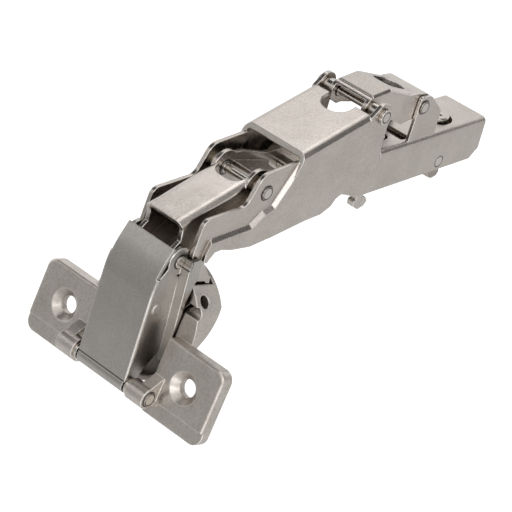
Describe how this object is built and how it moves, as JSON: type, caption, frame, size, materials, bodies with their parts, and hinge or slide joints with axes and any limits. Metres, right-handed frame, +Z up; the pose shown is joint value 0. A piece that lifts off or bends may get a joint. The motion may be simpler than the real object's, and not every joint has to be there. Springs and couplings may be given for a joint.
{
  "type": "concealed hinge",
  "caption": "Wide-angle concealed cabinet hinge, fully open: screw-on cup with flange, folded-sheet linkage and clip-on arm with adjusting screws.",
  "frame": {"origin": "middle of the arm's seat, on the plane of the arm's two lower edges where they stand on a mounting plate, on the hinge's plane of symmetry", "axes": "+X along the arm towards its rear end, +Y across the hinge along every pivot pin, +Z up out of the arm's top; the door end is at -X"},
  "size_m": [0.1424, 0.0658, 0.0751],
  "materials": {
    "nickel_sheet": "satin nickel plate on folded steel sheet",
    "carrier_steel": "bright nickel plate on steel, seen mostly in shade",
    "lever_plate": "satin nickel plate on pressed steel, a shade darker",
    "cup_casting": "grainy matt nickel plate on a die casting",
    "claw_casting": "matt nickel plate on a casting",
    "pin_steel": "bright nickel-plated rivet steel",
    "screw_steel": "bright nickel-plated screw steel"
  },
  "bodies": {
    "arm": {"arm_channel": "nickel_sheet", "carrier": "carrier_steel", "front_claw": "claw_casting", "latch_pin": "pin_steel", "pin_f": "pin_steel", "pin_d": "pin_steel"},
    "side_screw": {"side_screw": "screw_steel"},
    "depth_screw": {"depth_screw": "screw_steel"},
    "rear_latch": {"rear_latch": "carrier_steel"},
    "rear_link": {"rear_link": "nickel_sheet", "pin_e": "pin_steel", "bushes_e": "pin_steel"},
    "outer_channel": {"outer_channel": "nickel_sheet", "pin_c": "pin_steel", "spacers_c": "pin_steel"},
    "inner_channel": {"inner_channel": "nickel_sheet"},
    "plate_lever": {"plate_lever": "lever_plate", "pin_h": "pin_steel"},
    "cup": {"cup": "cup_casting", "pin_a": "pin_steel", "sleeves_a": "pin_steel", "pin_b": "pin_steel"}
  },
  "joints": [
    {"name": "rear_link_turn", "type": "hinge", "parent": "arm", "child": "rear_link", "pos_m": [-0.005, 0, 0.0234], "axis": [0, 1, 0], "range_deg": [0, 126]},
    {"name": "outer_channel_turn", "type": "hinge", "parent": "rear_link", "child": "outer_channel", "pos_m": [-0.0292, 0, 0.0272], "axis": [0, 1, 0], "range_deg": [-126, 0]},
    {"name": "inner_channel_turn", "type": "hinge", "parent": "outer_channel", "child": "inner_channel", "pos_m": [-0.0722, 0, 0.013], "axis": [0, 1, 0], "range_deg": [0, 126]},
    {"name": "plate_lever_turn", "type": "hinge", "parent": "inner_channel", "child": "plate_lever", "pos_m": [-0.0998, 0, -0.0013], "axis": [0, 1, 0], "range_deg": [-104, 0]},
    {"name": "cup_turn", "type": "hinge", "parent": "plate_lever", "child": "cup", "pos_m": [-0.1094, 0, -0.036], "axis": [0, 1, 0], "range_deg": [0, 143]},
    {"name": "latch_turn", "type": "hinge", "parent": "arm", "child": "rear_latch", "pos_m": [0.0103, 0, 0.0027], "axis": [0, 1, 0], "range_deg": [0, 10], "stiffness_Nm_per_rad": 0.05, "springref_deg": -11.46},
    {"name": "side_screw_turn", "type": "hinge", "parent": "arm", "child": "side_screw", "pos_m": [-0.014, 0, 0.0115], "axis": [0, 0, 1], "continuous": true},
    {"name": "depth_screw_turn", "type": "hinge", "parent": "arm", "child": "depth_screw", "pos_m": [0.014, 0, 0.0115], "axis": [0, 0, 1], "continuous": true}
  ],
  "couplings": [
    {"joint": "outer_channel_turn", "follows": "rear_link_turn", "ratio": -1},
    {"joint": "inner_channel_turn", "follows": "rear_link_turn", "ratio": 1},
    {"joint": "plate_lever_turn", "follows": "rear_link_turn", "ratio": -0.8254},
    {"joint": "cup_turn", "follows": "rear_link_turn", "ratio": 1.1349}
  ]
}
